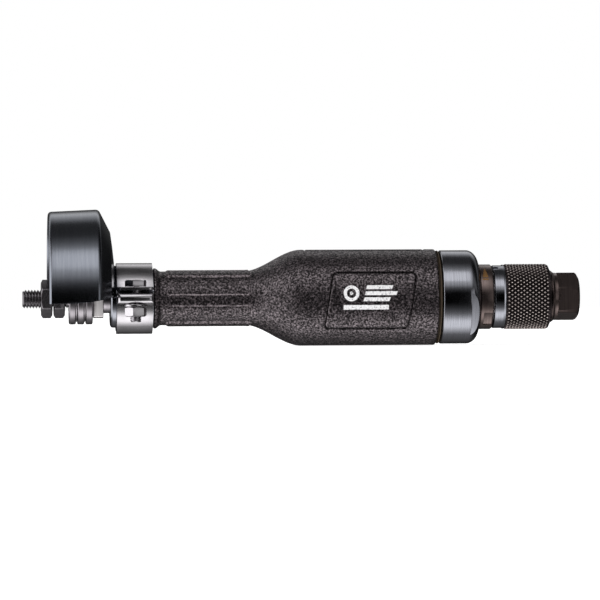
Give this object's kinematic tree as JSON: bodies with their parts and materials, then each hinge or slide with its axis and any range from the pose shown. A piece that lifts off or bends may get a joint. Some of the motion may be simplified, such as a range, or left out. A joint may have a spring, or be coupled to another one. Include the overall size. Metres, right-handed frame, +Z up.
{
  "type": "extended air die grinder",
  "caption": "Hand-held extended air grinder with a ribbed grip, a turning half-round wheel guard on a clamp band, and a roll throttle at the air inlet.",
  "frame": {"origin": "centre of the spindle tip's end face, on the tool axis", "axes": "+X back along the tool from the spindle tip to the air inlet, +Z up with the guard on top, -Y the side with the badge panel and the clamp bolt"},
  "size_m": [0.2903, 0.0926, 0.0713],
  "materials": {
    "black_oxide_steel": "turned steel, black oxide, satin",
    "blued_steel": "turned and pressed steel, semi-gloss black finish with fine turning lines",
    "knurled_steel": "diamond-knurled steel, worn black oxide",
    "grey_steel": "ground steel, satin",
    "zinc_plated_steel": "bright zinc plating",
    "bearing_steel": "polished bearing steel",
    "browned_steel": "turned steel, brown-black oxide",
    "grip_composite": "moulded composite with a fine spark-eroded grain",
    "rubber": "matte black rubber",
    "gasket_fibre": "tan fibre gasket",
    "vane_composite": "laminated phenolic",
    "felt": "pressed felt",
    "brass": "machined brass"
  },
  "bodies": {
    "housing": {"nose_cap": "black_oxide_steel", "nose_seal": "rubber", "spindle_housing": "blued_steel", "motor_housing": "blued_steel", "grip_sleeve": "grip_composite", "nose_bearing_outer_race": "bearing_steel", "neck_bearing_outer_race": "bearing_steel", "motor_front_bearing_outer_race": "bearing_steel", "motor_rear_bearing_outer_race": "bearing_steel", "front_end_plate": "grey_steel", "rear_end_plate": "grey_steel", "cylinder_liner": "grey_steel", "dowel_pin": "bearing_steel", "wave_washer": "bearing_steel", "gasket": "gasket_fibre", "end_cap": "blued_steel", "exhaust_muffler": "felt", "rear_collar": "browned_steel", "valve_body": "grey_steel", "o_ring_front": "rubber", "o_ring_rear": "rubber", "inlet_bushing": "browned_steel", "inlet_screen": "bearing_steel"},
    "spindle": {"spindle": "black_oxide_steel", "jam_nut": "black_oxide_steel", "wheel_nut": "black_oxide_steel", "inner_flange": "grey_steel", "flange_spacer": "grey_steel", "shaft_coupling": "grey_steel", "bearing_spacer": "grey_steel", "rotor": "grey_steel", "vane_1": "vane_composite", "vane_2": "vane_composite", "vane_3": "vane_composite", "vane_4": "vane_composite", "vane_5": "vane_composite", "nose_bearing_inner_race": "bearing_steel", "neck_bearing_inner_race": "bearing_steel", "motor_front_bearing_inner_race": "bearing_steel", "motor_rear_bearing_inner_race": "bearing_steel"},
    "outer_flange": {"outer_flange": "grey_steel"},
    "bearing_cages": {"nose_bearing_cage": "brass", "motor_front_bearing_cage": "brass", "motor_rear_bearing_cage": "brass"},
    "neck_bearing_cage": {"neck_bearing_cage": "brass"},
    "guard": {"wheel_guard": "blued_steel", "clamp_band": "zinc_plated_steel", "clamp_bolt": "zinc_plated_steel"},
    "clamp_washer": {"clamp_washer": "zinc_plated_steel"},
    "clamp_nut": {"clamp_nut": "zinc_plated_steel"},
    "throttle": {"throttle_sleeve": "knurled_steel", "drive_pin": "bearing_steel", "valve_drum": "brass"}
  },
  "joints": [
    {"name": "spindle_spin", "type": "hinge", "parent": "housing", "child": "spindle", "pos_m": [0.1, 0, 0], "axis": [1, 0, 0], "continuous": true},
    {"name": "outer_flange_slide", "type": "slide", "parent": "spindle", "child": "outer_flange", "axis": [-1, 0, 0], "range_m": [0, 0.0017]},
    {"name": "bearing_cage_spin", "type": "hinge", "parent": "housing", "child": "bearing_cages", "pos_m": [0.1, 0, 0], "axis": [1, 0, 0], "continuous": true},
    {"name": "neck_cage_spin", "type": "hinge", "parent": "housing", "child": "neck_bearing_cage", "pos_m": [0.1, 0, 0], "axis": [1, 0, 0], "continuous": true},
    {"name": "guard_turn", "type": "hinge", "parent": "housing", "child": "guard", "pos_m": [0.058, 0, 0], "axis": [1, 0, 0], "continuous": true},
    {"name": "clamp_washer_travel", "type": "slide", "parent": "guard", "child": "clamp_washer", "axis": [0, 0, -1], "range_m": [0, 0.002]},
    {"name": "clamp_nut_turn", "type": "hinge", "parent": "clamp_washer", "child": "clamp_nut", "pos_m": [0.0579, -0.0244, 0], "axis": [0, 0, -1], "range_deg": [0, 720]},
    {"name": "throttle_turn", "type": "hinge", "parent": "housing", "child": "throttle", "pos_m": [0.26, 0, 0], "axis": [1, 0, 0], "range_deg": [0, 60]}
  ],
  "couplings": [
    {"joint": "bearing_cage_spin", "follows": "spindle_spin", "ratio": 0.4167},
    {"joint": "neck_cage_spin", "follows": "spindle_spin", "ratio": 0.4315},
    {"joint": "clamp_nut_turn", "follows": "clamp_washer_travel", "rad_per_m": 6283.2}
  ]
}
